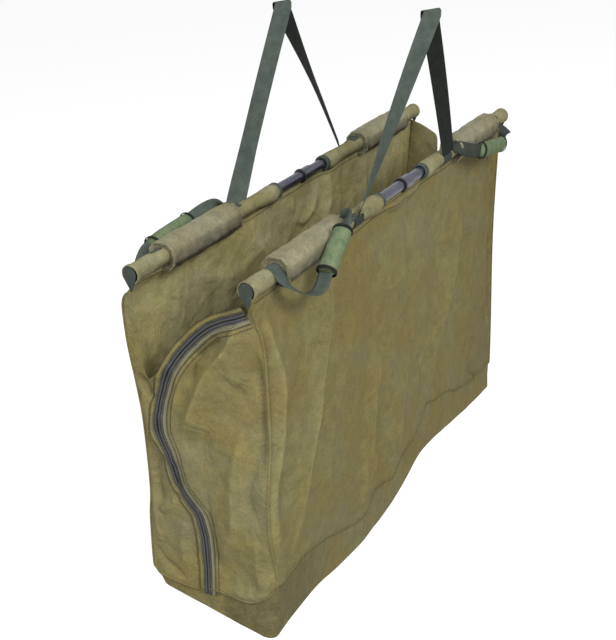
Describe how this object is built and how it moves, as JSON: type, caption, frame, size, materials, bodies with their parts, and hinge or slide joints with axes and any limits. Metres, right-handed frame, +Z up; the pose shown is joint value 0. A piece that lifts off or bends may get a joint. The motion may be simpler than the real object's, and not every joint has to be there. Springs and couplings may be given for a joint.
{
  "type": "weigh sling",
  "caption": "Long olive fabric weigh sling hanging open from two webbing straps, with sleeved carrying poles, foam floats, carry handles and zipped ends.",
  "frame": {"origin": "the underside of the fold at the top of the near weigh strap, where a scale hook lifts the sling", "axes": "+X runs along the poles, +Y across the bag from the near strap to the far one, +Z up"},
  "size_m": [1.2036, 0.4124, 1.0598],
  "materials": {
    "olive_cloth": "matt coated nylon cloth, olive khaki",
    "sleeve_cloth": "matt coated nylon cloth, paler where it is drawn over the pole",
    "float_cloth": "smooth coated cover cloth, beige brown, slight sheen",
    "foam": null,
    "webbing": "woven polypropylene webbing, dark grey green",
    "grip_cloth": "brushed knit over a soft pad, mid green",
    "pole_metal": "anodised tube, blue grey",
    "black_plastic": "moulded plug",
    "zip_tape": "dark grey zip tape with a moulded coil",
    "zip_metal": "die-cast slider, dark enamel"
  },
  "bodies": {
    "bag": {"base_tray": "olive_cloth", "left_gusset_near": "olive_cloth", "left_gusset_far": "olive_cloth", "right_gusset_near": "olive_cloth", "right_gusset_far": "olive_cloth", "left_zip": "zip_tape", "right_zip": "zip_tape"},
    "left_slider": {"left_zip_slider": "zip_metal"},
    "left_pull": {"left_zip_pull": "zip_metal"},
    "right_slider": {"right_zip_slider": "zip_metal"},
    "right_pull": {"right_zip_pull": "zip_metal"},
    "near_side": {"near_side_panel": "olive_cloth", "near_sleeve_left": "sleeve_cloth", "near_sleeve_right": "sleeve_cloth", "near_hem_left": "webbing", "near_hem_right": "webbing", "near_end_tab_left": "webbing", "near_end_tab_right": "webbing", "near_float_left": "foam", "near_float_right": "foam", "near_float_cover_left": "float_cloth", "near_float_cover_right": "float_cloth", "near_pole_right": "pole_metal", "near_pole_collar": "pole_metal", "near_pole_plug_right": "black_plastic", "near_strap_anchor_left": "webbing", "near_strap_anchor_right": "webbing"},
    "near_pole": {"near_pole_left": "pole_metal", "near_pole_plug_left": "black_plastic"},
    "near_strap": {"near_weigh_strap": "webbing"},
    "near_handle_left_swing": {"near_handle_left": "webbing", "near_grip_left": "grip_cloth"},
    "near_handle_right_swing": {"near_handle_right": "webbing", "near_grip_right": "grip_cloth"},
    "far_side": {"far_side_panel": "olive_cloth", "far_sleeve_left": "sleeve_cloth", "far_sleeve_right": "sleeve_cloth", "far_hem_left": "webbing", "far_hem_right": "webbing", "far_end_tab_left": "webbing", "far_end_tab_right": "webbing", "far_float_left": "foam", "far_float_right": "foam", "far_float_cover_left": "float_cloth", "far_float_cover_right": "float_cloth", "far_pole_right": "pole_metal", "far_pole_collar": "pole_metal", "far_pole_plug_right": "black_plastic", "far_strap_anchor_left": "webbing", "far_strap_anchor_right": "webbing"},
    "far_pole": {"far_pole_left": "pole_metal", "far_pole_plug_left": "black_plastic"},
    "far_strap": {"far_weigh_strap": "webbing"},
    "far_handle_left_swing": {"far_handle_left": "webbing", "far_grip_left": "grip_cloth"},
    "far_handle_right_swing": {"far_handle_right": "webbing", "far_grip_right": "grip_cloth"}
  },
  "joints": [
    {"name": "left_slider_travel", "type": "hinge", "parent": "near_side", "child": "left_slider", "pos_m": [-0.5731, 0.0272, -0.6691], "axis": [-1, 0, 0], "range_deg": [0, 60]},
    {"name": "left_pull_flip", "type": "hinge", "parent": "left_slider", "child": "left_pull", "pos_m": [-0.57976, 0.13911, -0.42911], "axis": [0, 1, 0], "range_deg": [0, 110]},
    {"name": "right_slider_travel", "type": "hinge", "parent": "near_side", "child": "right_slider", "pos_m": [0.5731, 0.0272, -0.6691], "axis": [-1, 0, 0], "range_deg": [0, 60]},
    {"name": "right_pull_flip", "type": "hinge", "parent": "right_slider", "child": "right_pull", "pos_m": [0.57976, 0.13911, -0.42911], "axis": [0, -1, 0], "range_deg": [0, 110]},
    {"name": "near_side_swing", "type": "hinge", "parent": "bag", "child": "near_side", "pos_m": [0, 0.1065, -1.0054], "axis": [-1, 0, 0], "range_deg": [-8, 7]},
    {"name": "near_pole_part", "type": "slide", "parent": "near_side", "child": "near_pole", "axis": [-1, 0, 0], "range_m": [0, 0.045]},
    {"name": "near_strap_fold", "type": "hinge", "parent": "near_side", "child": "near_strap", "pos_m": [0, 0.06575, -0.3574], "axis": [-1, 0, 0], "range_deg": [-150, 5]},
    {"name": "near_handle_left_lift", "type": "hinge", "parent": "near_side", "child": "near_handle_left_swing", "pos_m": [-0.39, 0.083, -0.365], "axis": [-1, 0, 0], "range_deg": [0, 100]},
    {"name": "near_handle_right_lift", "type": "hinge", "parent": "near_side", "child": "near_handle_right_swing", "pos_m": [0.39, 0.083, -0.365], "axis": [-1, 0, 0], "range_deg": [0, 100]},
    {"name": "far_side_swing", "type": "hinge", "parent": "bag", "child": "far_side", "pos_m": [0, 0.3535, -1.0054], "axis": [1, 0, 0], "range_deg": [-8, 7]},
    {"name": "far_pole_part", "type": "slide", "parent": "far_side", "child": "far_pole", "axis": [-1, 0, 0], "range_m": [0, 0.045]},
    {"name": "far_strap_fold", "type": "hinge", "parent": "far_side", "child": "far_strap", "pos_m": [0, 0.33425, -0.3574], "axis": [1, 0, 0], "range_deg": [-150, 0]},
    {"name": "far_handle_left_lift", "type": "hinge", "parent": "far_side", "child": "far_handle_left_swing", "pos_m": [-0.39, 0.317, -0.365], "axis": [1, 0, 0], "range_deg": [0, 100]},
    {"name": "far_handle_right_lift", "type": "hinge", "parent": "far_side", "child": "far_handle_right_swing", "pos_m": [0.39, 0.317, -0.365], "axis": [1, 0, 0], "range_deg": [0, 100]}
  ]
}
